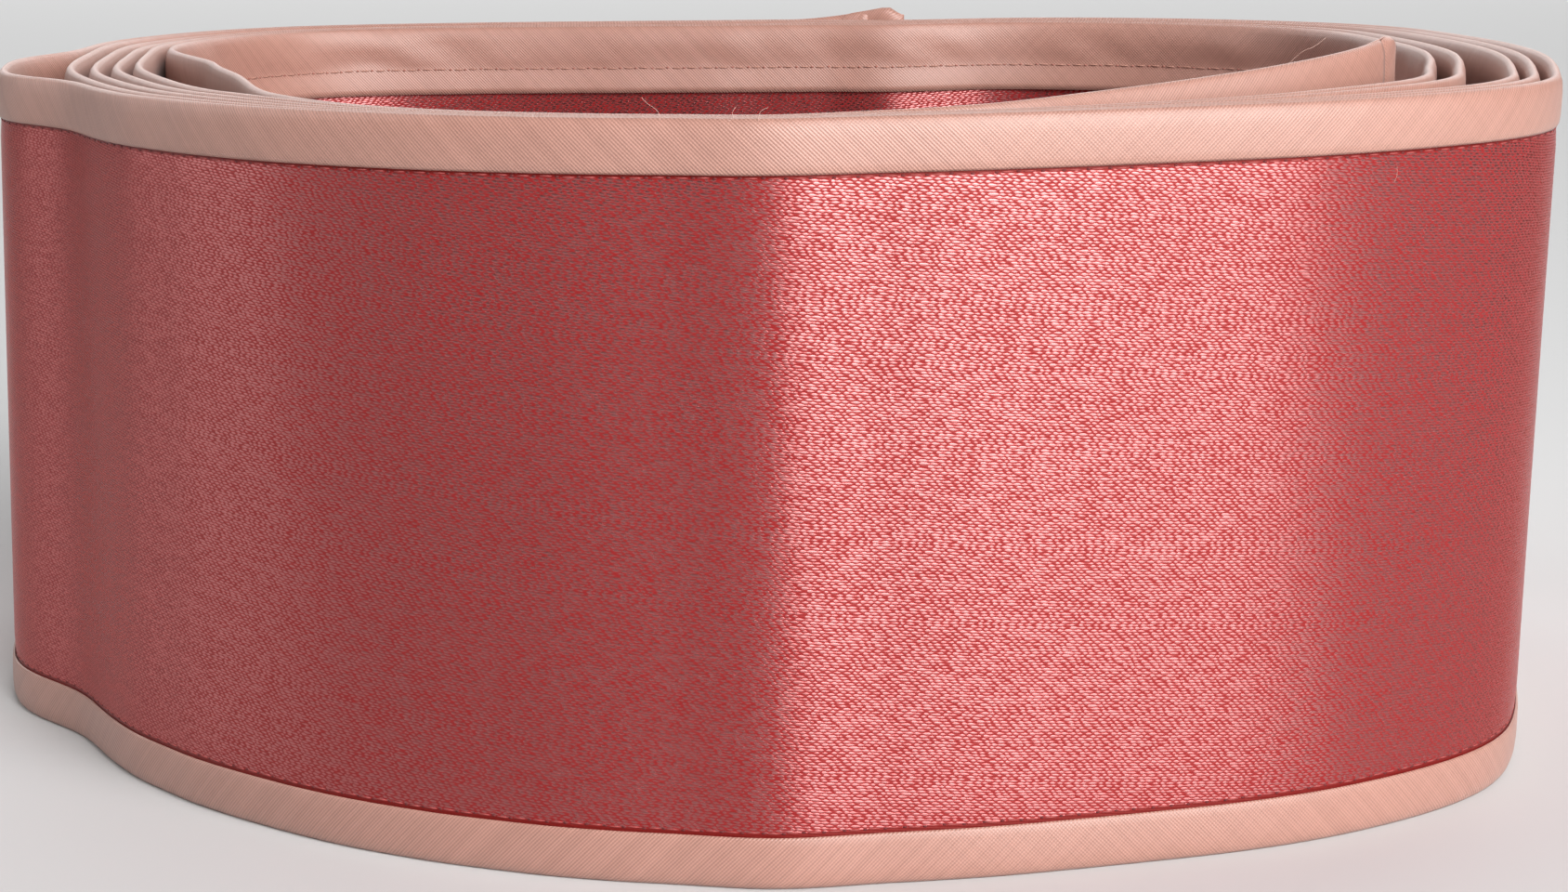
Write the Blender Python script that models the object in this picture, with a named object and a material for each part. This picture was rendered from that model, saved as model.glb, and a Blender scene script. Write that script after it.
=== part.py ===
# Satin sash rolled into a loose coil that stands on its long edge.
# Metres, +Z up. The origin lies under the middle of the coil's box, on the surface it stands on.
# Seen from above the band winds anticlockwise from the free end at the back to the flap inside.

import math
import bpy
import bmesh
from mathutils import Vector

MM = 0.001

# Sizes of the band
BAND_WIDTH = 80 * MM
BINDING_WIDTH = 5.7 * MM
SATIN_THICKNESS = 1.05 * MM
BINDING_THICKNESS = 1.65 * MM
EDGE_ROUNDING = 0.5 * MM
SEAM_GAP = 0.3 * MM
TURNS = 6

# Outer face of the coil in plan: distance from the coil's middle, every 15 degrees from the right
OUTLINE_STEP = 15
OUTLINE_RADIUS = [
    94.9, 96.3, 99.6, 96.2, 90.6, 82.0,     # right to back
    80.7, 84.6, 94.7, 107.9, 106.9, 96.6,   # back to left
    90.4, 85.6, 83.1, 80.6, 79.3, 79.0,     # left to front
    79.6, 80.7, 84.1, 91.3, 97.0, 94.7,     # front to right
]

# How far the middle of the band lies inside the outline, in millimetres, a row for each turn.
# Columns: back, back left, left, front left, front, front right, right, back right.
INSET_STEP = 45
INSET_ROWS = [
    (0.85, 0.85, 0.85, 0.85, 0.85, 0.85, 0.85, 2.0),
    (3.05, 3.05, 3.0, 2.9, 2.9, 2.95, 3.5, 4.2),
    (5.2, 5.3, 6.0, 5.3, 4.95, 5.1, 5.9, 6.6),
    (7.4, 7.8, 8.8, 7.5, 7.0, 8.1, 11.0, 10.4),
    (9.9, 10.6, 11.6, 9.7, 9.05, 10.9, 14.0, 13.4),
    (12.8, 13.2, 13.8, 11.9, 11.15, 13.4, 18.3, 18.3),
]

# Where the band starts and ends, in degrees from the right, anticlockwise
OUTER_END_ANGLE = 75.0
INNER_END_ANGLE = 341.5 + 360 * (TURNS - 1)

# Soft vertical creases in every turn, one pressed outwards at the front and one inwards at the
# back where the outer end lies: angle, height and half width in degrees
CREASES = [
    {"angle": 270.6, "height": 1.0 * MM, "half_width": 9.0},
    {"angle": 74.0, "height": -1.3 * MM, "half_width": 9.0},
]

# Where the band leaves the stack, inwards if the depth is above zero: the lobe at the left, two
# layers that spread at the right, the inner turn across the opening, and the flap. The angles are
# where it starts to leave, where it is at its full depth from and to, and where it is back.
SWELLS = [
    {"turn": 1, "depth": -6.2 * MM, "angles": (160, 171, 184, 195.5)},
    {"turn": 4, "depth": 2.2 * MM, "angles": (306, 326, 330, 364)},
    {"turn": 5, "depth": 2.6 * MM, "angles": (306, 326, 332, 366)},
    {"turn": 6, "depth": 7.5 * MM, "angles": (156, 176, 184, 244)},
    {"turn": 6, "depth": 8.6 * MM, "angles": (284, 316, 322, 350)},
]

# The flap's end rises from the surface, and only the top corner of the outer end sticks up
FLAP_RISE = {"height": 4.2 * MM, "length": 66 * MM, "power": 1.7}
CORNER_RISE = {"height": 2.3 * MM, "length": 17 * MM, "power": 1.6}
CORNER_HEIGHT_POWER = 6

# At the left and the right side the wall leans a little to the right, top over bottom
SIDE_LEAN = 1.4 * MM
LEAN_STRETCHES = [(-75, -30, 25, 75), (105, 140, 188, 236)]

# The winding is evened out over its neighbourhood, but for the creases: degrees away and weight
EVENING = [(-4, 1), (-2, 2), (0, 3), (2, 2), (4, 1)]

# Degrees between the wall's sections, and where it bends tightly enough to need the fine step
SECTION_STEP = 5.0
FINE_STEP = 2.5
FINE_STRETCHES = [(152, 202), (264, 278), (1392, 1424), (1752, 1784), (1950, 2032), (2094, 2141)]
# Degrees between the points of the route, and the reach on each side for its direction
ROUTE_STEP = 0.5
TANGENT_REACH = 1.0 * MM
CREASE_SOFTNESS = 0.03
SHARP_ANGLE = 30

SATIN = {"color": (0.62, 0.16, 0.17, 1), "roughness": 0.38}
BIAS = {"color": (0.82, 0.50, 0.43, 1), "roughness": 0.75}


def smooth_through(values, place):
    """A smooth curve through evenly spaced values, read at a place counted in steps."""
    index = min(max(int(math.floor(place)), 0), len(values) - 2)
    part = place - index
    before = values[max(index - 1, 0)]
    here, there = values[index], values[index + 1]
    after = values[min(index + 2, len(values) - 1)]
    slope_here = (there - before) / 2
    slope_there = (after - here) / 2
    rise = there - here
    return (here + slope_here * part
            + (3 * rise - 2 * slope_here - slope_there) * part ** 2
            + (slope_here + slope_there - 2 * rise) * part ** 3)


def smooth_step(part):
    """Rises from 0 to 1 with no kink at either end."""
    part = min(max(part, 0.0), 1.0)
    return part * part * (3 - 2 * part)


def plateau(angle, stretch):
    """Rises from 0 to 1 between the first two angles and falls again between the last two."""
    start, full, leave, end = stretch
    return smooth_step((angle - start) / (full - start)) - smooth_step((angle - leave) / (end - leave))


def crease_at(angle, crease):
    """How far a soft crease stands out here. It comes back on every turn."""
    away = (angle - crease["angle"] + 180) % 360 - 180
    height = 1 - math.sqrt((away / crease["half_width"]) ** 2 + CREASE_SOFTNESS)
    return crease["height"] * smooth_step(height)


def outline_at(angle):
    """Distance of the coil's outer face from its middle."""
    count = len(OUTLINE_RADIUS)
    place = (angle % 360) / OUTLINE_STEP
    wrapped = [OUTLINE_RADIUS[(int(place) + k) % count] for k in (-1, 0, 1, 2)]
    return smooth_through(wrapped, 1 + place - int(place)) * MM


def inset_at(angle):
    """Distance of the band's middle inside the outline at this angle of the winding."""
    along = [value for row in INSET_ROWS for value in row]
    inset = smooth_through(along, (angle - 90) / INSET_STEP) * MM
    for swell in SWELLS:
        inset += swell["depth"] * plateau(angle - 360 * (swell["turn"] - 1), swell["angles"])
    return inset


def wound_point(angle):
    """The band's middle in plan."""
    weights = sum(weight for away, weight in EVENING)
    distance = sum(weight * (outline_at(angle + away) - inset_at(angle + away))
                   for away, weight in EVENING) / weights
    distance += sum(crease_at(angle, crease) for crease in CREASES)
    turned = math.radians(angle)
    return Vector((distance * math.cos(turned), distance * math.sin(turned)))


class Route:
    """The band's middle line in plan, read by its length from the outer end."""

    def __init__(self):
        count = int(round((INNER_END_ANGLE - OUTER_END_ANGLE) / ROUTE_STEP))
        self.angles = [OUTER_END_ANGLE + ROUTE_STEP * k for k in range(count + 1)]
        self.points = [wound_point(angle) for angle in self.angles]
        self.lengths = [0.0]
        for here, there in zip(self.points, self.points[1:]):
            self.lengths.append(self.lengths[-1] + (there - here).length)
        self.total = self.lengths[-1]
        self.centre = Vector((0, 0, 0))

    def length_at(self, angle):
        place = min(max((angle - OUTER_END_ANGLE) / ROUTE_STEP, 0), len(self.lengths) - 1.001)
        index = int(place)
        return self.lengths[index] + (place - index) * (self.lengths[index + 1] - self.lengths[index])

    def index_at(self, length):
        low, high = 0, len(self.lengths) - 2
        while low < high:
            middle = (low + high + 1) // 2
            if self.lengths[middle] <= length:
                low = middle
            else:
                high = middle - 1
        return low

    def point_at(self, length):
        index = self.index_at(length)
        span = self.lengths[index + 1] - self.lengths[index]
        return self.points[index].lerp(self.points[index + 1], (length - self.lengths[index]) / span)

    def outward_at(self, length):
        along = self.point_at(length + TANGENT_REACH) - self.point_at(length - TANGENT_REACH)
        return Vector((along.y, -along.x)).normalized()


def lean_at(plan, height):
    """Sideways shift of a point of the wall."""
    angle = (math.degrees(math.atan2(plan.y, plan.x)) + 90) % 360 - 90
    part = sum(plateau(angle, stretch) for stretch in LEAN_STRETCHES)
    return SIDE_LEAN * part * (2 * height / BAND_WIDTH - 1)


def end_rise(rise, left):
    """Height of the rise, and its slope, at a place this far from the free end."""
    part = 1 - left / rise["length"]
    if part <= 0:
        return 0.0, 0.0
    height = rise["height"] * part ** rise["power"]
    slope = rise["height"] * rise["power"] * part ** (rise["power"] - 1) / rise["length"]
    return height, slope


def band_point(route, length, height, outward):
    """A point of the band: along it, up its width, and out from its middle."""
    flap_height, flap_slope = end_rise(FLAP_RISE, route.total - length)
    corner_height = end_rise(CORNER_RISE, length)[0] * (height / BAND_WIDTH) ** CORNER_HEIGHT_POWER
    bent = length - (height - BAND_WIDTH / 2) * flap_slope
    plan = route.point_at(bent) + route.outward_at(bent) * outward
    lift = flap_height + corner_height
    return Vector((plan.x + lean_at(plan, height), plan.y, height + lift)) - route.centre


def put_in_the_middle(route):
    """Moves the route so that the middle of the coil's box is over the origin."""
    edge = BINDING_THICKNESS / 2
    lengths = section_lengths(route, 0.0, route.total)
    points = [band_point(route, length, height, outward) for length in lengths
              for height in (0.0, BAND_WIDTH) for outward in (-edge, edge)]
    low = [min(point[axis] for point in points) for axis in (0, 1)]
    high = [max(point[axis] for point in points) for axis in (0, 1)]
    route.centre = Vector(((low[0] + high[0]) / 2, (low[1] + high[1]) / 2, 0))


def wall_section(thickness, bottom, top, rounding=0.0):
    """The wall's section as pairs of height and distance out, with its top corners taken off."""
    half = thickness / 2
    section = [(bottom, -half), (bottom, half)]
    if rounding:
        section += [(top - rounding, half), (top, half - rounding),
                    (top, -half + rounding), (top - rounding, -half)]
    else:
        section += [(top, half), (top, -half)]
    return section


def section_lengths(route, start, end):
    """Places of the sections between two lengths, closer where the band bends tightly."""
    lengths = [start]
    angle = OUTER_END_ANGLE
    while angle < INNER_END_ANGLE:
        fine = any(low <= angle < high for low, high in FINE_STRETCHES)
        angle += FINE_STEP if fine else SECTION_STEP
        length = route.length_at(angle)
        if start + MM < length < end - MM:
            lengths.append(length)
    return lengths + [end]


def make_material(name, look):
    material = bpy.data.materials.new(name)
    material.use_nodes = True
    shader = material.node_tree.nodes["Principled BSDF"]
    shader.inputs["Base Color"].default_value = look["color"]
    shader.inputs["Roughness"].default_value = look["roughness"]
    shader.inputs["Metallic"].default_value = 0.0
    return material


def make_wall(name, route, section, start, end, look, collection):
    """Skins one closed wall through its sections along the band."""
    mesh_data = bmesh.new()
    rings = []
    for length in section_lengths(route, start, end):
        rings.append([mesh_data.verts.new(band_point(route, length, height, outward))
                      for height, outward in section])
    for ring, following in zip(rings, rings[1:]):
        for k in range(len(section)):
            n = (k + 1) % len(section)
            mesh_data.faces.new((ring[k], ring[n], following[n], following[k]))
    mesh_data.faces.new(list(reversed(rings[0])))
    mesh_data.faces.new(rings[-1])
    bmesh.ops.recalc_face_normals(mesh_data, faces=mesh_data.faces)
    mesh = bpy.data.meshes.new(name)
    mesh_data.to_mesh(mesh)
    mesh_data.free()
    mesh.shade_smooth()
    mesh.set_sharp_from_angle(angle=math.radians(SHARP_ANGLE))
    wall = bpy.data.objects.new(name, mesh)
    mesh.materials.append(make_material(name, look))
    collection.objects.link(wall)
    return wall


def turn_limits(route, turn):
    """Start and end of a turn's pieces, clear of the end bindings and of the next turn."""
    start = route.length_at(OUTER_END_ANGLE + 360 * (turn - 1)) + SEAM_GAP / 2
    end = route.length_at(OUTER_END_ANGLE + 360 * turn) - SEAM_GAP / 2
    if turn == 1:
        start = BINDING_WIDTH + SEAM_GAP
    if turn == TURNS:
        end = route.total - BINDING_WIDTH - SEAM_GAP
    return start, end


def make_turn(route, turn, collection):
    """The satin wall of one turn with the binding on its two long edges."""
    start, end = turn_limits(route, turn)
    satin = wall_section(SATIN_THICKNESS, BINDING_WIDTH + SEAM_GAP,
                         BAND_WIDTH - BINDING_WIDTH - SEAM_GAP)
    top = wall_section(BINDING_THICKNESS, BAND_WIDTH - BINDING_WIDTH, BAND_WIDTH, EDGE_ROUNDING)
    bottom = wall_section(BINDING_THICKNESS, 0.0, BINDING_WIDTH)
    make_wall(f"satin_turn_{turn}", route, satin, start, end, SATIN, collection)
    make_wall(f"top_binding_turn_{turn}", route, top, start, end, BIAS, collection)
    make_wall(f"bottom_binding_turn_{turn}", route, bottom, start, end, BIAS, collection)


def make_end_bindings(route, collection):
    """The bias strips over the two short ends, from edge to edge of the band."""
    section = wall_section(BINDING_THICKNESS, 0.0, BAND_WIDTH, EDGE_ROUNDING)
    make_wall("end_binding_outer", route, section, 0.0, BINDING_WIDTH, BIAS, collection)
    make_wall("end_binding_inner", route, section, route.total - BINDING_WIDTH, route.total,
              BIAS, collection)


def main():
    for leftover in list(bpy.data.objects):
        bpy.data.objects.remove(leftover, do_unlink=True)
    collection = bpy.data.collections.new("satin_sash")
    bpy.context.scene.collection.children.link(collection)
    route = Route()
    put_in_the_middle(route)
    for turn in range(1, TURNS + 1):
        make_turn(route, turn, collection)
    make_end_bindings(route, collection)
    print("length of the band", round(route.total, 4), "m")


main()
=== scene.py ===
# Satin sash rolled into a loose coil that stands on its long edge, in soft studio light.
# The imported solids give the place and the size. The cloth, stitches and finishes are made here.

import math
import random

import bmesh
import bpy
import numpy as np
from mathutils import Matrix, Vector, noise


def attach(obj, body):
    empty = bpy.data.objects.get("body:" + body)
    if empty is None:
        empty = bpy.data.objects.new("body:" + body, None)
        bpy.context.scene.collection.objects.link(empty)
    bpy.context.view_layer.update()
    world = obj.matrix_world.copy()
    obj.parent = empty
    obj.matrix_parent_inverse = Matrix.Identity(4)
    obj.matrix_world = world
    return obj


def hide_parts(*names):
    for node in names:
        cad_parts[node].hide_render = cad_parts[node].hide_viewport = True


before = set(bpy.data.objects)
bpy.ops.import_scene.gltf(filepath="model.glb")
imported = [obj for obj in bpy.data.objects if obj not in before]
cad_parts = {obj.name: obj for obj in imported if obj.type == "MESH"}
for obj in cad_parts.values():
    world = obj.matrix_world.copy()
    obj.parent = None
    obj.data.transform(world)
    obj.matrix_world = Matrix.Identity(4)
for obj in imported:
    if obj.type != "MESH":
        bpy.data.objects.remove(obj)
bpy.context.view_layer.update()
scene = bpy.context.scene
mm = 0.001


# Winding of the band, the same as in the solids: plan sizes in millimetres, angles in degrees

winding = {
    "width": 80 * mm,
    "bindingWidth": 5.7 * mm,
    "turns": 6,
    "outerEnd": 75.0,                # degrees from the right, anticlockwise from above
    "innerEnd": 341.5 + 360 * 5,
    "outlineStep": 15,
    "outline": [94.9, 96.3, 99.6, 96.2, 90.6, 82.0,        # right to back
                80.7, 84.6, 94.7, 107.9, 106.9, 96.6,      # back to left
                90.4, 85.6, 83.1, 80.6, 79.3, 79.0,        # left to front
                79.6, 80.7, 84.1, 91.3, 97.0, 94.7],       # front to right
    "insetStep": 45,                 # columns go round from the back, a row for each turn
    "insets": [(0.85, 0.85, 0.85, 0.85, 0.85, 0.85, 0.85, 2.0),
               (3.05, 3.05, 3.0, 2.9, 2.9, 2.95, 3.5, 4.2),
               (5.2, 5.3, 6.0, 5.3, 4.95, 5.1, 5.9, 6.6),
               (7.4, 7.8, 8.8, 7.5, 7.0, 8.1, 11.0, 10.4),
               (9.9, 10.6, 11.6, 9.7, 9.05, 10.9, 14.0, 13.4),
               (12.8, 13.2, 13.8, 11.9, 11.15, 13.4, 18.3, 18.3)],
    "creases": [{"angle": 270.6, "height": 1.0, "halfWidth": 9.0},
                {"angle": 74.0, "height": -1.3, "halfWidth": 9.0}],
    "creaseSoftness": 0.03,
    "swells": [{"turn": 1, "depth": -6.2, "angles": (160, 171, 184, 195.5)},
               {"turn": 4, "depth": 2.2, "angles": (306, 326, 330, 364)},
               {"turn": 5, "depth": 2.6, "angles": (306, 326, 332, 366)},
               {"turn": 6, "depth": 7.5, "angles": (156, 176, 184, 244)},
               {"turn": 6, "depth": 8.6, "angles": (284, 316, 322, 350)}],
    "evening": [(-4, 1), (-2, 2), (0, 3), (2, 2), (4, 1)],
    "flapRise": {"height": 4.2 * mm, "length": 66 * mm, "power": 1.7},
    "cornerRise": {"height": 2.3 * mm, "length": 17 * mm, "power": 1.6, "heightPower": 6},
    "lean": 1.4 * mm,
    "leanStretches": [(-75, -30, 25, 75), (105, 140, 188, 236)],
    "step": 0.25,
    "centre": (-1.773 * mm, 0.985 * mm),       # middle of the coil's box
}


def smoothStep(part):
    part = np.clip(part, 0, 1)
    return part * part * (3 - 2 * part)


def plateau(angle, stretch):
    start, full, leave, end = stretch
    return smoothStep((angle - start) / (full - start)) - smoothStep((angle - leave) / (end - leave))


def smoothThrough(values, place, closed):      # a smooth curve through evenly spaced values
    values = np.array(values, float)
    count = len(values)
    index = np.floor(place).astype(int)
    if not closed:
        index = np.clip(index, 0, count - 2)
    part = place - index
    before, here, there, after = [
        values[(index + k) % count] if closed else values[np.clip(index + k, 0, count - 1)]
        for k in (-1, 0, 1, 2)]
    slopeHere, slopeThere, rise = (there - before) / 2, (after - here) / 2, there - here
    return (here + slopeHere * part + (3 * rise - 2 * slopeHere - slopeThere) * part ** 2
            + (slopeHere + slopeThere - 2 * rise) * part ** 3)


def creaseAt(angle, crease):
    away = (angle - crease["angle"] + 180) % 360 - 180
    height = 1 - np.sqrt((away / crease["halfWidth"]) ** 2 + winding["creaseSoftness"])
    return crease["height"] * smoothStep(height)


def distanceAt(angle):                         # from the coil's middle to the band's, without creases
    outline = smoothThrough(winding["outline"], angle / winding["outlineStep"], True)
    row = [value for turn in winding["insets"] for value in turn]
    inset = smoothThrough(row, (angle - 90) / winding["insetStep"], False)
    for swell in winding["swells"]:
        inset = inset + swell["depth"] * plateau(angle - 360 * (swell["turn"] - 1), swell["angles"])
    return outline - inset


def makeRoute():
    angle = np.arange(winding["outerEnd"], winding["innerEnd"] + winding["step"] / 2, winding["step"])
    weights = sum(weight for away, weight in winding["evening"])
    distance = sum(weight * distanceAt(angle + away) for away, weight in winding["evening"]) / weights
    distance = (distance + sum(creaseAt(angle, crease) for crease in winding["creases"])) * mm
    turned = np.radians(angle)
    plan = np.stack([distance * np.cos(turned), distance * np.sin(turned)], 1)
    steps = np.linalg.norm(np.diff(plan, axis=0), axis=1)
    length = np.concatenate([[0], np.cumsum(steps)])
    along = np.gradient(plan, length, axis=0)
    along /= np.linalg.norm(along, axis=1)[:, None]
    outward = np.stack([along[:, 1], -along[:, 0]], 1)
    return {"angle": angle, "plan": plan, "length": length, "outward": outward, "total": length[-1],
            "centre": np.array(winding["centre"])}


route = makeRoute()


def lengthAt(angle):
    return float(np.interp(angle, route["angle"], route["length"]))


def readRoute(name, length):
    return np.stack([np.interp(length, route["length"], route[name][:, k]) for k in (0, 1)], 1)


def endRise(rise, left):                       # height of a rise and its slope, this far from the end
    part = np.clip(1 - left / rise["length"], 0, None)
    height = rise["height"] * part ** rise["power"]
    slope = rise["height"] * rise["power"] * part ** (rise["power"] - 1) / rise["length"]
    return height, slope


# Softness of the cloth that the solids leave out: shallow troughs that run from edge to edge, and rims
# that sink a little. Angles are counted on through the turns, sizes in millimetres.

softness = {
    "troughs": [{"angle": 214, "halfWidth": 5.0, "depth": 0.16, "slant": 3.0},
                {"angle": 231, "halfWidth": 8.0, "depth": -0.12, "slant": -4.0},
                {"angle": 249, "halfWidth": 6.0, "depth": 0.10, "slant": 2.0},
                {"angle": 291, "halfWidth": 7.0, "depth": 0.10, "slant": -5.0},
                {"angle": 306, "halfWidth": 6.0, "depth": -0.10, "slant": 3.0},
                {"angle": 338, "halfWidth": 7.0, "depth": 0.14, "slant": 4.0},
                {"angle": 12, "halfWidth": 8.0, "depth": -0.14, "slant": -3.0},
                {"angle": 52, "halfWidth": 7.0, "depth": 0.16, "slant": 4.0},
                {"angle": 98, "halfWidth": 6.0, "depth": 0.15, "slant": -4.0},
                {"angle": 121, "halfWidth": 9.0, "depth": -0.12, "slant": 3.0},
                {"angle": 146, "halfWidth": 6.0, "depth": 0.14, "slant": 2.0}],
    "rimDips": [{"angles": (575, 600, 650, 680), "drop": 0.12},
                {"angles": (935, 960, 1010, 1040), "drop": 0.25},
                {"angles": (1295, 1320, 1370, 1400), "drop": 0.35},
                {"angles": (1655, 1680, 1730, 1765), "drop": 0.45},
                {"angles": (1990, 2012, 2070, 2100), "drop": 0.6},
                {"angles": (820, 850, 900, 930), "drop": 0.25},
                {"angles": (1150, 1190, 1240, 1290), "drop": 0.3}],
    # rounds the two free corners, the outer one more
    "tip": {"drops": (1.7 * mm, 0.9 * mm), "length": 2.8 * mm, "power": 12},
    "wander": 0.10 * mm,             # slow unevenness, shared by layers that touch
    "wanderScale": 24.0,             # waves in a metre
}


def softShift(angle, plan, height):
    shift = np.zeros(len(angle))
    part = height / winding["width"]
    for trough in softness["troughs"]:
        middle = trough["angle"] + trough["slant"] * (part - 0.5)
        away = (angle - middle + 180) % 360 - 180
        shift -= trough["depth"] * mm * smoothStep(1 - np.abs(away) / trough["halfWidth"])
    scale = softness["wanderScale"]
    wander = [noise.noise(Vector((x * scale, y * scale, z * scale / 2)))
              for (x, y), z in zip(plan, height)]
    return shift + softness["wander"] * np.array(wander)


def bandPoints(length, height, outward):       # arrays in, points in the frame out
    flapHeight, flapSlope = endRise(winding["flapRise"], route["total"] - length)
    corner = winding["cornerRise"]
    part = height / winding["width"]
    lift = flapHeight + endRise(corner, length)[0] * np.clip(part, 0, None) ** corner["heightPower"]
    bent = length - (height - winding["width"] / 2) * flapSlope
    along = np.clip(bent, 0, route["total"])
    direction = readRoute("outward", along)
    plan = readRoute("plan", along)
    over = (bent - along)[:, None]             # past the free end the band runs straight on
    plan = plan + over * np.stack([-direction[:, 1], direction[:, 0]], 1)
    angle = np.interp(along, route["length"], route["angle"])
    shift = softShift(angle, plan, height)
    turned = (np.degrees(np.arctan2(plan[:, 1], plan[:, 0])) + 90) % 360 - 90
    lean = sum(plateau(turned, stretch) for stretch in winding["leanStretches"])
    drop = sum(dip["drop"] * mm * plateau(angle, dip["angles"]) for dip in softness["rimDips"])
    lift = lift - drop * np.clip(part, 0, None) ** 4
    tip = softness["tip"]
    fromEnd = np.minimum(length, route["total"] - length)
    tipDrop = np.where(length < route["total"] / 2, *tip["drops"])
    tipDrop = tipDrop * (1 - smoothStep(fromEnd / tip["length"]))
    lift = lift - tipDrop * np.clip(part, 0, None) ** tip["power"]
    plan = plan + direction * (outward + shift)[:, None] - route["centre"]
    return np.stack([plan[:, 0] + winding["lean"] * lean * (2 * part - 1), plan[:, 1], height + lift], 1)


print("winding ready, band", round(route["total"], 3), "m long")


# Columns of the cloth along the band, closer together where it shows

columns = {
    "shown": [(75, 440), (1770, 2142)],        # outer face of the first turn, inner face of the last
    "satin": (1.7 * mm, 3.0 * mm),
    "binding": (1.0 * mm, 2.2 * mm),
    "bareInside": 1775,              # from here on the inner face is bare
    "bareOutside": 432,              # and up to here the outer face
    "fade": 20 * mm,
}


def columnLengths(kind, start, end):
    fine, coarse = columns[kind]
    lengths = [start]
    while lengths[-1] < end:
        angle = np.interp(lengths[-1], route["length"], route["angle"])
        shown = any(low <= angle < high for low, high in columns["shown"])
        lengths.append(lengths[-1] + (fine if shown else coarse))
    lengths[-1] = end
    return lengths


def shownInside(length):                       # 1 where the inner face is bare, 0 between layers
    return smoothStep((length - lengthAt(columns["bareInside"])) / columns["fade"])


def shownOutside(length):
    return 1 - smoothStep((length - lengthAt(columns["bareOutside"])) / columns["fade"])


def makeCloth(name, across, around, place, weld=False, flip=False):
    bm = bmesh.new()
    uv = bm.loops.layers.uv.new("cloth")
    bmesh.ops.create_grid(bm, x_segments=len(across) - 1, y_segments=len(around) - 1, size=0.5)
    grid = np.array([vert.co[:2] for vert in bm.verts])
    grid = (grid - grid.min(0)) / (grid.max(0) - grid.min(0))
    i = np.rint(grid[:, 0] * (len(across) - 1)).astype(int)
    j = np.rint(grid[:, 1] * (len(around) - 1)).astype(int)
    points, girth = place(np.array(across)[i], j)
    for vert, point in zip(bm.verts, points):
        vert.co = point
    bm.verts.index_update()
    for face in bm.faces:
        for loop in face.loops:
            k = loop.vert.index
            loop[uv].uv = (across[i[k]], girth[j[k]])
    if weld:
        bmesh.ops.remove_doubles(bm, verts=bm.verts, dist=0.002 * mm)
        bmesh.ops.holes_fill(bm, edges=[edge for edge in bm.edges if edge.is_boundary], sides=0)
        bmesh.ops.recalc_face_normals(bm, faces=bm.faces)
    if flip:
        bmesh.ops.reverse_faces(bm, faces=bm.faces)
    mesh = bpy.data.meshes.new(name)
    bm.to_mesh(mesh)
    bm.free()
    mesh.shade_smooth()
    cloth = bpy.data.objects.new(name, mesh)
    scene.collection.objects.link(cloth)
    return cloth


def girthOf(profile):                          # distance along a profile, for the UV map
    steps = np.linalg.norm(np.diff(np.array(profile), axis=0), axis=1)
    return np.concatenate([[0], np.cumsum(steps)])


# Satin band: two layers of cloth back to back, one closed shell

satin = {
    "heights": [1.4, 3.2, 4.8, 5.6, 6.1, 6.8, 8.2, 10.5, 14, 19, 25, 32, 40,
                48, 55, 61, 66, 69.5, 71.8, 73.2, 73.9, 74.4, 75.2, 76.8, 78.6],
    "half": 0.525,                   # half thickness in the open, in millimetres
    "halfUnder": 0.38,               # under the bindings
    "dip": (5.4, 8.4),               # heights over which it comes up to its full thickness
    "end": 1.4 * mm,                 # the satin starts this far inside the bound ends
}


def satinHalf(height):
    fromEdge = np.minimum(height, winding["width"] / mm - height)
    low, high = satin["dip"]
    return satin["halfUnder"] + (satin["half"] - satin["halfUnder"]) * smoothStep(
        (fromEdge - low) / (high - low))


def makeSatin():
    heights = np.array(satin["heights"])
    outer = [(height, half) for height, half in zip(heights, satinHalf(heights))]
    inner = [(height, -half) for height, half in reversed(outer)]
    profile = np.array(outer + inner + outer[:1])
    girth = np.concatenate([heights, heights[::-1], heights[:1]]) * mm
    across = columnLengths("satin", satin["end"], route["total"] - satin["end"])

    def place(length, j):
        fromEnd = np.minimum(length, route["total"] - length) / mm
        bound = satin["halfUnder"] / satin["half"]
        thin = bound + (1 - bound) * smoothStep((fromEnd - satin["dip"][0]) / 3)
        half = np.sign(profile[j, 1]) * np.minimum(np.abs(profile[j, 1]), satin["half"] * thin)
        return bandPoints(length, profile[j, 0] * mm, half * mm), girth

    return makeCloth("satinBand", across, range(len(profile)), place, weld=True)


# Bias bindings: a strip folded over the edge, its reverse leg longer and slightly puckered

binding = {
    # distance in from the edge and out from the band's middle, from the face to the reverse
    "profile": [(5.72, 0.60), (5.45, 0.74), (4.7, 0.82), (3.4, 0.85), (2.1, 0.84), (1.1, 0.74),
                (0.45, 0.52), (0.08, 0.20), (0.08, -0.20), (0.45, -0.53), (1.1, -0.77), (2.2, -0.90),
                (3.4, -0.88), (4.6, -0.76), (5.5, -0.63), (6.2, -0.57), (6.9, -0.66), (7.8, -0.78),
                (8.9, -0.88), (9.8, -0.86)],
    "thickness": 0.2 * mm,
    "stitchLine": 6.2,               # of the reverse leg
    "dents": 0.08 * mm,              # one to each stitch
    "drag": 0.44 * mm,               # slanting folds between the rim and the stitch line
    "dragScale": (150.0, 210.0),     # along the band and across it, waves in a metre
    "dragSlant": 0.8,
    "flange": 0.28 * mm,             # ripple of the free edge below the stitch line
    "flangeScale": 95.0,
    "outerDrag": 0.05 * mm,
}
pitch = {"top": 2.35 * mm, "bottom": 2.1 * mm}


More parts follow.
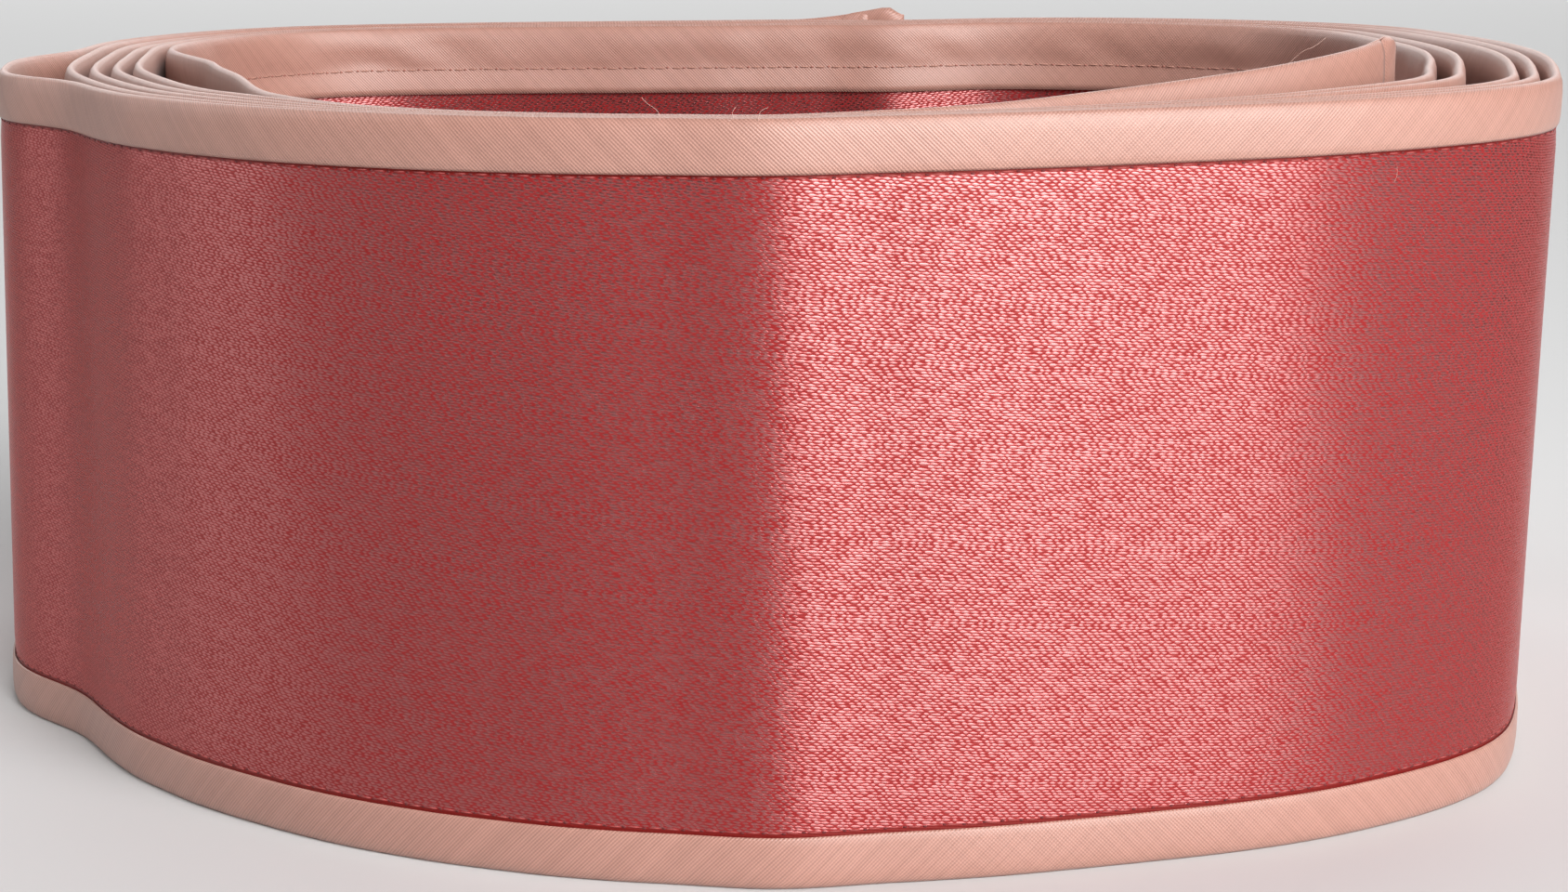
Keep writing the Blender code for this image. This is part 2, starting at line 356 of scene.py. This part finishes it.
def bindingRelief(length, s, out, row):
    inside = shownInside(length)
    outside = shownOutside(length)
    alongScale, acrossScale = binding["dragScale"]
    stitch = np.exp(-((s - binding["stitchLine"]) / 0.8) ** 2)
    dents = binding["dents"] * stitch * np.cos(2 * np.pi * length / pitch[row])
    folds = np.array([noise.noise(Vector((l * alongScale + a * mm * acrossScale * binding["dragSlant"],
                                          a * mm * acrossScale, 3.7))) for l, a in zip(length, s)])
    ripple = np.array([noise.noise(Vector((l * binding["flangeScale"], 9.1, a * 0.1)))
                       for l, a in zip(length, s)])
    rimToSeam = smoothStep((s - 0.8) / 1.5) * (1 - smoothStep((s - 5.0) / 1.2))
    flange = smoothStep((s - binding["stitchLine"]) / 3.4)
    inner = inside * (dents + binding["drag"] * folds * rimToSeam
                      - binding["flange"] * flange * (0.45 + ripple))
    outer = outside * binding["outerDrag"] * folds * rimToSeam
    return np.where(out < 0, inner, outer)


def makeBinding(name, row):
    profile = np.array(binding["profile"])
    girth = girthOf(profile) * mm
    inset = winding["bindingWidth"] - 0.3 * mm
    across = columnLengths("binding", inset, route["total"] - inset)

    def place(length, j):
        s, out = profile[j, 0], profile[j, 1]
        height = s * mm if row == "bottom" else winding["width"] - s * mm
        return bandPoints(length, height, out * mm + bindingRelief(length, s, out, row)), girth

    return addThickness(makeCloth(name, across, range(len(profile)), place, flip=row == "bottom"))


def addThickness(cloth):
    shell = cloth.modifiers.new("thickness", "SOLIDIFY")
    shell.thickness = binding["thickness"]
    shell.offset = -1
    shell.use_quality_normals = True
    return cloth


# The two short ends: the same strip, over the long bindings at the corners

endStrip = {
    "heights": [0, 0.04, 0.14, 0.4, 0.8, 1.4, 2.4, 3.8, 5.2, 6.4, 8, 11, 16, 22, 29, 36, 43,
                50, 57, 63, 68, 71.6, 73.6, 74.8, 76.2, 77.6, 78.6, 79.2, 79.6, 79.86, 79.96, 80],
    "corner": 1.03,                  # thicker over the corner squares
    "round": 0.9,                    # how far in the corners start to close, in millimetres
    "tuck": 0.27,                    # how far the free edges are pressed down
    "shrink": 0.009,                 # and how much shorter they are than the strip
    "flush": 0.845,                  # height of the front leg's edge over the corner squares
}


def makeEndBinding(name, atOuterEnd):
    profile = np.array(binding["profile"])
    girth = girthOf(profile) * mm

    def place(height, j):
        s, out = profile[j, 0], profile[j, 1]
        fromEdge = np.minimum(height, winding["width"] - height) / mm
        square = 1 - smoothStep((fromEdge - 5.2) / 1.6)
        closed = np.sqrt(1 - (1 - np.clip(fromEdge / endStrip["round"], 0, 1)) ** 2)
        thick = (1 + (endStrip["corner"] - 1) * square) * closed
        edge = smoothStep(np.where(out > 0, (s - 4.6) / 1.1, (s - 8.3) / 1.5))
        thick = thick * (1 - endStrip["tuck"] * edge)
        height = height + (winding["width"] / 2 - height) * endStrip["shrink"] * edge
        flush = square * smoothStep((s - 4.2) / 0.8) * (out > 0)
        out = out + flush * (endStrip["flush"] - out)
        out = np.sign(out) * np.maximum(np.abs(out) * thick * mm, binding["thickness"])
        length = s * mm if atOuterEnd else route["total"] - s * mm
        return bandPoints(length, height, out), girth

    heights = [height * mm for height in endStrip["heights"]]
    return addThickness(makeCloth(name, heights, range(len(profile)), place, flip=not atOuterEnd))


satinBand = makeSatin()
print("satin", len(satinBand.data.polygons), "faces")
topBinding = makeBinding("topBinding", "top")
bottomBinding = makeBinding("bottomBinding", "bottom")
outerEndBinding = makeEndBinding("outerEndBinding", True)
innerEndBinding = makeEndBinding("innerEndBinding", False)
print("bindings", len(topBinding.data.polygons), "faces on each long edge")


# Lines of stitching beside the bindings: dark beads that paint the shade in the needle holes, with a little
# thread sunk between them

stitches = {
    "holeShade": (0.27, 0.14, 0.06),      # half sizes along, across and out, in millimetres, of the painted shade beads in the needle holes
    "thread": (0.80, 0.11, 0.07),
    "sides": {"top": 80 - 5.7 - 0.32, "bottom": 5.7 + 0.45},
    "jitter": (0.12, 0.05),          # along and across, in millimetres
    "seed": 5,
}


def repeatedShape(size, step, count):          # one small bead repeated along a row
    bm = bmesh.new()
    bmesh.ops.create_icosphere(bm, subdivisions=1, radius=mm)
    bmesh.ops.scale(bm, vec=Vector(size), verts=bm.verts)
    mesh = bpy.data.meshes.new("bead")
    bm.to_mesh(mesh)
    bm.free()
    bead = bpy.data.objects.new("bead", mesh)
    scene.collection.objects.link(bead)
    row = bead.modifiers.new("row", "ARRAY")
    row.count = count
    row.use_relative_offset = False
    row.use_constant_offset = True
    row.constant_offset_displace = (step, 0, 0)
    bpy.context.view_layer.update()
    repeated = bpy.data.meshes.new_from_object(bead.evaluated_get(bpy.context.evaluated_depsgraph_get()))
    bpy.data.objects.remove(bead)
    return repeated


def makeStitches(name, row, shape, inside, start=0.5):
    rng = random.Random(stitches["seed"] + len(name))
    step = pitch[row]
    inset = 7 * mm
    count = int((route["total"] - 2 * inset) / step)
    mesh = repeatedShape(stitches[shape], step, count)
    mesh.name = name
    flat = np.array([vert.co for vert in mesh.vertices])
    each = len(flat) // count
    along, across = stitches["jitter"]
    shift = np.array([(rng.uniform(-along, along), rng.uniform(-across, across)) for _ in range(count)]) * mm
    shift = np.repeat(shift, each, axis=0)
    length = flat[:, 0] + inset + start * step + shift[:, 0]
    s = binding["stitchLine"]
    if inside:
        height = winding["width"] - s * mm if row == "top" else s * mm
        out = -0.64 * mm - binding["dents"] * 0.5
    else:
        height = stitches["sides"][row] * mm
        out = satinHalf(stitches["sides"][row]) * mm
    points = bandPoints(length, height + flat[:, 1] + shift[:, 1], out + flat[:, 2])
    mesh.vertices.foreach_set("co", points.ravel())
    mesh.update()
    mesh.shade_smooth()
    stitch = bpy.data.objects.new(name, mesh)
    scene.collection.objects.link(stitch)
    return stitch


threads, holeShades = [], []
for row in ("top", "bottom"):
    for inside, side in ((False, "Outside"), (True, "Inside")):
        threads.append(makeStitches(row + "Thread" + side, row, "thread", inside, start=0.0))
        # dark beads: painted shade in the needle holes
        holeShades.append(makeStitches(row + "Holes" + side, row, "holeShade", inside))
print("stitches", sum(len(piece.data.polygons) for piece in threads + holeShades), "faces")


# Stray fibres on the rim, and a pulled thread on the satin

fibres = {
    "radius": 0.014 * mm,
    # where each one starts, and its course from there in millimetres
    "rimFibreLeft": {"angle": 262.8, "height": 79.7, "out": 0.5,
                     "course": [(0, 0, 0), (0.1, 0, 0.5), (-0.4, 0, 1.2), (-1.3, 0.1, 1.7), (-1.75, 0, 2.3)]},
    "rimFibreMiddle": {"angle": 267.8, "height": 79.7, "out": 0.5,
                       "course": [(0, 0, 0), (0.7, 0, 0.25), (0.3, 0.1, 0.8), (0.8, 0, 1.4)]},
    "rimFibreRight": {"angle": 269.9, "height": 79.7, "out": 0.5,
                      "course": [(0, 0, 0), (0.1, 0, 0.6), (0.35, 0, 1.1), (1.0, 0.1, 1.3)]},
    "flapFibre": {"angle": 2124.0, "height": 79.8, "out": 0.4,
                  "course": [(0, 0, 0), (1.6, -0.2, 1.7), (3.0, 0, 1.9), (4.2, 0, 3.0)]},
    "pulledThread": {"angle": 315.8, "height": 72.6, "out": 0.58,
                     "course": [(0, 0, 0), (0.1, -0.05, -0.8), (-0.3, -0.03, -1.7), (-0.4, 0.05, -2.4)]},
}


def makeFibre(name):
    strand = fibres[name]
    start = bandPoints(np.array([lengthAt(strand["angle"])]), np.array([strand["height"] * mm]),
                       np.array([strand["out"] * mm]))[0]
    curve = bpy.data.curves.new(name, "CURVE")
    curve.dimensions = "3D"
    curve.bevel_depth = fibres["radius"]
    curve.bevel_resolution = 1
    curve.use_fill_caps = True
    spline = curve.splines.new("NURBS")
    spline.points.add(len(strand["course"]) - 1)
    for point, away in zip(spline.points, strand["course"]):
        point.co = (*(start + np.array(away) * mm), 1)
    spline.order_u = 3
    spline.use_endpoint_u = True
    spline.resolution_u = 6
    drawn = bpy.data.objects.new(name + "Curve", curve)
    scene.collection.objects.link(drawn)
    bpy.context.view_layer.update()
    mesh = bpy.data.meshes.new_from_object(drawn.evaluated_get(bpy.context.evaluated_depsgraph_get()))
    bpy.data.objects.remove(drawn)
    mesh.name = name
    mesh.shade_smooth()
    fibre = bpy.data.objects.new(name, mesh)
    scene.collection.objects.link(fibre)
    return fibre


strayFibres = [makeFibre(name) for name in fibres if name != "radius"]
print("stray fibres", len(strayFibres))


# Finishes

def startMaterial(name, **settings):
    material = bpy.data.materials.new(name)
    material.use_nodes = True
    shader = material.node_tree.nodes["Principled BSDF"]
    for socket, value in settings.items():
        shader.inputs[socket.replace("_", " ")].default_value = value
    return material, shader


def add(tree, kind, inputs=(), **settings):    # a node, with a value or a link for each of its sockets
    made = tree.nodes.new("ShaderNode" + kind)
    for name, value in settings.items():
        setattr(made, name, value)
    for socket, value in dict(inputs).items():
        if isinstance(value, bpy.types.NodeSocket):
            tree.links.new(value, made.inputs[socket])
        else:
            made.inputs[socket].default_value = value
    return made


def compute(tree, operation, *values):
    return add(tree, "Math", dict(enumerate(values)), operation=operation).outputs[0]


def blendColours(tree, part, first, second):
    mix = add(tree, "Mix", {0: part, 6: first, 7: second}, data_type="RGBA")
    return mix.outputs[2]


satinFinish = {
    "floats": (0.485, 0.180, 0.178, 1),        # lustrous threads that lie on top
    "ground": (0.25, 0.015, 0.016, 1),         # matt cloth between them
    "tint": (1.0, 0.42, 0.38, 1),              # of the shine at a shallow angle
    "shade": (0.13, 0.008, 0.006, 1),          # painted shade in the ditch beside a binding
    "ditch": 5.86 * mm,                        # from the edge of the band
    "groundPart": (0.32, 0.62),                # where the pattern turns from floats to ground
    "cloud": 520.0,
    "rowPitch": 0.30 * mm,
    "floatLength": 0.9 * mm,
    "rowShift": 0.40,
    "rowJitter": 0.30,
    "unrest": (1.1 * mm, 620.0),               # how far and how finely the floats are shifted along
    "slope": 0.087,                            # the rows sink this much along the band
    "bump": 0.035 * mm,
}


def makeSatinFinish():
    material, shader = startMaterial("satin", Roughness=0.38, Anisotropic=0.8, Anisotropic_Rotation=0.25,
                                     IOR=1.5, Specular_IOR_Level=0.4, Specular_Tint=satinFinish["tint"])
    tree = material.node_tree
    place = add(tree, "SeparateXYZ", {0: add(tree, "UVMap", uv_map="cloth").outputs[0]})
    along, across = place.outputs[0], place.outputs[1]
    wavy = add(tree, "TexNoise", {"Scale": 90.0, "Detail": 2.0}).outputs[0]
    tree.links.new(add(tree, "TexCoord").outputs["Object"], wavy.node.inputs["Vector"])
    rows = compute(tree, "ADD", across, compute(tree, "MULTIPLY", along, satinFinish["slope"]))
    rows = compute(tree, "ADD", rows, compute(tree, "MULTIPLY", wavy, 0.5 * mm))
    rows = compute(tree, "DIVIDE", rows, satinFinish["rowPitch"])
    number = compute(tree, "FLOOR", rows)
    jitter = add(tree, "TexWhiteNoise", {"W": number}, noise_dimensions="1D").outputs[0]
    shift = compute(tree, "ADD", compute(tree, "MULTIPLY", number, satinFinish["rowShift"]),
                    compute(tree, "MULTIPLY", jitter, satinFinish["rowJitter"]))
    reach, fineness = satinFinish["unrest"]
    unrest = add(tree, "TexNoise", {"Scale": fineness, "Detail": 1.0})
    tree.links.new(add(tree, "TexCoord").outputs["Object"], unrest.inputs["Vector"])
    shifted = compute(tree, "MULTIPLY_ADD", unrest.outputs[0], reach, along)
    dash = compute(tree, "ADD", compute(tree, "DIVIDE", shifted, satinFinish["floatLength"]), shift)
    wave = compute(tree, "SINE", compute(tree, "MULTIPLY", dash, 2 * math.pi))
    ridge = compute(tree, "COSINE", compute(tree, "MULTIPLY", rows, 2 * math.pi))
    thread = add(tree, "CombineXYZ", {0: compute(tree, "FLOOR", dash), 1: number}).outputs[0]
    luck = add(tree, "TexWhiteNoise", {"Vector": thread}, noise_dimensions="2D").outputs[0]
    luck = compute(tree, "SUBTRACT", luck, 0.5)
    cloud = add(tree, "TexNoise", {"Scale": satinFinish["cloud"], "Detail": 3.0})
    tree.links.new(add(tree, "TexCoord").outputs["Object"], cloud.inputs["Vector"])
    cloud = compute(tree, "SUBTRACT", cloud.outputs[0], 0.5)
    field = compute(tree, "SUBTRACT", compute(tree, "MULTIPLY", ridge, 0.20),
                    compute(tree, "MULTIPLY", wave, 0.22))
    field = compute(tree, "ADD", field, compute(tree, "MULTIPLY_ADD", luck, 0.24, 0.5))
    field = compute(tree, "ADD", field, compute(tree, "MULTIPLY", cloud, 0.14))
    # mask of a narrow band along the stitch line beside each binding: there the satin turns to matt ground
    # and darker red, as painted shade in the ditch
    fromEdge = compute(tree, "MINIMUM", across, compute(tree, "SUBTRACT", winding["width"], across))
    ditch = compute(tree, "ABSOLUTE", compute(tree, "SUBTRACT", fromEdge, satinFinish["ditch"]))
    ditch = add(tree, "MapRange", {0: ditch, 1: 0.10 * mm, 2: 0.34 * mm, 3: 1.0, 4: 0.0}).outputs[0]
    field = compute(tree, "ADD", field, compute(tree, "MULTIPLY", ditch, 0.9))
    low, high = satinFinish["groundPart"]
    gap = add(tree, "MapRange", {0: field, 1: low, 2: high}, interpolation_type="SMOOTHSTEP").outputs[0]
    colour = blendColours(tree, gap, satinFinish["floats"], satinFinish["ground"])
    # painted shade: the ditch band is blended towards the dark shade colour
    colour = blendColours(tree, compute(tree, "MULTIPLY", ditch, 0.75), colour, satinFinish["shade"])
    tree.links.new(colour, shader.inputs["Base Color"])
    tree.links.new(compute(tree, "SUBTRACT", 1.0, gap), shader.inputs["Metallic"])
    tangent = add(tree, "Tangent", direction_type="UV_MAP", uv_map="cloth")
    tree.links.new(tangent.outputs[0], shader.inputs["Tangent"])
    tilt = compute(tree, "MULTIPLY", luck, compute(tree, "FRACT", dash))       # each float leans its own way
    height = compute(tree, "SUBTRACT", compute(tree, "MULTIPLY", ridge, -0.4),
                     compute(tree, "MULTIPLY", gap, 0.6))
    height = compute(tree, "ADD", height, compute(tree, "MULTIPLY", tilt, 2.0))
    bump = add(tree, "Bump", {"Height": height, "Distance": satinFinish["bump"], "Strength": 0.6})
    tree.links.new(bump.outputs[0], shader.inputs["Normal"])
    return material


bindingFinish = {
    "base": (0.520, 0.268, 0.210, 1),
    "deep": (0.16, 0.07, 0.05, 1),
    "furrow": 0.50,                  # how dark the gaps between threads are
    "streak": 0.16,                  # how much one thread differs from the next
    "swing": (25 * mm, 60 * mm),     # between these places the other thread takes the lead
    "pitch": 0.31 * mm,
    "bump": 0.07 * mm,
}


def makeBindingFinish():
    material, shader = startMaterial("biasBinding", Roughness=0.45, IOR=1.6, Specular_IOR_Level=0.55,
                                     Sheen_Weight=0.08, Sheen_Roughness=0.5)
    tree = material.node_tree
    place = add(tree, "SeparateXYZ", {0: add(tree, "UVMap", uv_map="cloth").outputs[0]})
    along, across = place.outputs[0], place.outputs[1]
    spot = add(tree, "TexCoord").outputs["Object"]
    slow = add(tree, "TexNoise", {"Vector": spot, "Scale": 30.0, "Detail": 1.0}).outputs[0]
    sideways = add(tree, "SeparateXYZ", {0: spot}).outputs[0]
    sideways = compute(tree, "MULTIPLY_ADD", compute(tree, "SUBTRACT", slow, 0.5), 0.12, sideways)
    start, end = bindingFinish["swing"]
    lead = add(tree, "MapRange", {0: sideways, 1: start, 2: end, 3: 0.78, 4: 0.3}).outputs[0]
    shares = {"ADD": lead, "SUBTRACT": compute(tree, "SUBTRACT", 1.0, lead)}
    gap, streak = 0.0, 0.0
    for operation, share in shares.items():    # the two threads cross the strip at 45 degrees
        turned = compute(tree, "MULTIPLY", compute(tree, operation, along, across),
                         math.sqrt(0.5) / bindingFinish["pitch"])
        furrow = compute(tree, "COSINE", compute(tree, "MULTIPLY", turned, math.pi))
        furrow = compute(tree, "POWER", compute(tree, "ABSOLUTE", furrow), 2.0)
        gap = compute(tree, "ADD", gap, compute(tree, "MULTIPLY", share, furrow))
        luck = add(tree, "TexWhiteNoise", {"W": compute(tree, "FLOOR", compute(tree, "ADD", turned, 0.5))},
                   noise_dimensions="1D").outputs[0]
        streak = compute(tree, "ADD", streak, compute(tree, "MULTIPLY", share, luck))
    shade = compute(tree, "MULTIPLY_ADD", streak, bindingFinish["streak"],
                    compute(tree, "MULTIPLY", gap, bindingFinish["furrow"]))
    colour = blendColours(tree, shade, bindingFinish["base"], bindingFinish["deep"])
    tree.links.new(colour, shader.inputs["Base Color"])
    bump = add(tree, "Bump", {"Height": compute(tree, "SUBTRACT", 0.0, gap), "Strength": 0.5,
                              "Distance": bindingFinish["bump"]})
    tree.links.new(bump.outputs[0], shader.inputs["Normal"])
    return material


def makeSpeckled(name, base, deep, roughness): # thread, and the painted shade of needle holes, a little uneven
    material, shader = startMaterial(name, Roughness=roughness)
    tree = material.node_tree
    uneven = add(tree, "TexNoise", {"Scale": 2500.0, "Detail": 1.0})
    tree.links.new(add(tree, "TexCoord").outputs["Object"], uneven.inputs["Vector"])
    tree.links.new(blendColours(tree, uneven.outputs[0], base, deep), shader.inputs["Base Color"])
    return material


satinMaterial = makeSatinFinish()
bindingMaterial = makeBindingFinish()
threadMaterial = makeSpeckled("thread", (0.38, 0.070, 0.064, 1), (0.27, 0.042, 0.038, 1), 0.7)
# painted shade: very dark red for the shade inside the needle holes in the satin
holeShadeMaterial = makeSpeckled("paintedHoleShade", (0.10, 0.012, 0.012, 1), (0.18, 0.03, 0.03, 1), 0.9)

satinBand.data.materials.append(satinMaterial)
for strip in (topBinding, bottomBinding, outerEndBinding, innerEndBinding):
    strip.data.materials.append(bindingMaterial)
paleThread = makeSpeckled("paleThread", (0.50, 0.26, 0.20, 1), (0.40, 0.20, 0.15, 1), 0.8)
# painted shade: a darker tan for the shade inside the needle holes in the binding's reverse leg
paleHoleShade = makeSpeckled("palePaintedHoleShade", (0.34, 0.13, 0.10, 1), (0.42, 0.18, 0.14, 1), 0.9)
for pieces, outside, inside in ((threads, threadMaterial, paleThread), (holeShades, holeShadeMaterial, paleHoleShade)):
    for piece in pieces:
        piece.data.materials.clear()
        piece.data.materials.append(inside if piece.name.endswith("Inside") else outside)
fibreMaterial = makeSpeckled("strayFibre", (0.88, 0.62, 0.54, 1), (0.74, 0.46, 0.38, 1), 0.5)
for fibre in strayFibres:
    fibre.data.materials.append(fibreMaterial)
print("finishes ready")


# The pieces go under the root; the solids they take the place of are hidden

turns = range(1, winding["turns"] + 1)
bindings = [topBinding, bottomBinding, outerEndBinding, innerEndBinding]
for piece in [satinBand] + bindings + threads + holeShades + strayFibres:
    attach(piece, "root")
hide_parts(*["satin_turn_" + str(turn) for turn in turns])
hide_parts(*["top_binding_turn_" + str(turn) for turn in turns])
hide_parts(*["bottom_binding_turn_" + str(turn) for turn in turns])
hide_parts("end_binding_outer")
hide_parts("end_binding_inner")


# Floor, light and camera

studio = {
    "floor": 12.0,
    "floorColour": (0.60, 0.60, 0.60, 1),
    "world": 0.03,
    # place, size and power of each light
    "key": ((0.80, -1.26, 0.60), (1.30, 1.12), 34.5),
    "high": ((0.55, -1.00, 1.08), (0.8, 0.8), 14.0),
    "fill": ((-1.5, 0.2, 0.8), (1.0, 1.0), 8.0),
    "overhead": ((0.0, 2.5, 1.5), (4.4, 1.8), 74.0),
    "aim": (0, 0, 0.04),
    "camera": (3.773 * mm, -383.685 * mm, 107.9 * mm),
    "tilt": 11.38,
    "roll": -0.0123,
    "lens": 70.38,
}


def addLight(name):
    place, size, power = studio[name]
    light = bpy.data.lights.new(name, "AREA")
    light.shape = "RECTANGLE"
    light.size, light.size_y = size
    light.energy = power
    lamp = bpy.data.objects.new(name, light)
    toward = Vector(studio["aim"]) - Vector(place)
    lamp.matrix_world = Matrix.Translation(place) @ toward.to_track_quat("-Z", "Y").to_matrix().to_4x4()
    scene.collection.objects.link(lamp)


def makeFloor():
    bm = bmesh.new()
    bmesh.ops.create_grid(bm, x_segments=2, y_segments=2, size=studio["floor"] / 2)
    mesh = bpy.data.meshes.new("floor")
    bm.to_mesh(mesh)
    bm.free()
    floor = bpy.data.objects.new("floor", mesh)
    scene.collection.objects.link(floor)
    material, shader = startMaterial("floor", Roughness=0.9, Base_Color=studio["floorColour"])
    floor.data.materials.append(material)


makeFloor()
for name in ("key", "high", "fill", "overhead"):
    addLight(name)
world = bpy.data.worlds.new("studio")
world.use_nodes = True
world.node_tree.nodes["Background"].inputs["Color"].default_value = (1, 1, 1, 1)
world.node_tree.nodes["Background"].inputs["Strength"].default_value = studio["world"]
scene.world = world
scene.view_settings.view_transform = "Standard"

camera = bpy.data.cameras.new("camera")
camera.lens = studio["lens"]
camera.sensor_width = 36
camera.clip_start = 0.01
viewer = bpy.data.objects.new("camera", camera)
viewer.matrix_world = (Matrix.Translation(studio["camera"])
                       @ Matrix.Rotation(math.radians(90 - studio["tilt"]), 4, "X")
                       @ Matrix.Rotation(studio["roll"], 4, "Z"))
scene.collection.objects.link(viewer)
scene.camera = viewer

print("scene ready")
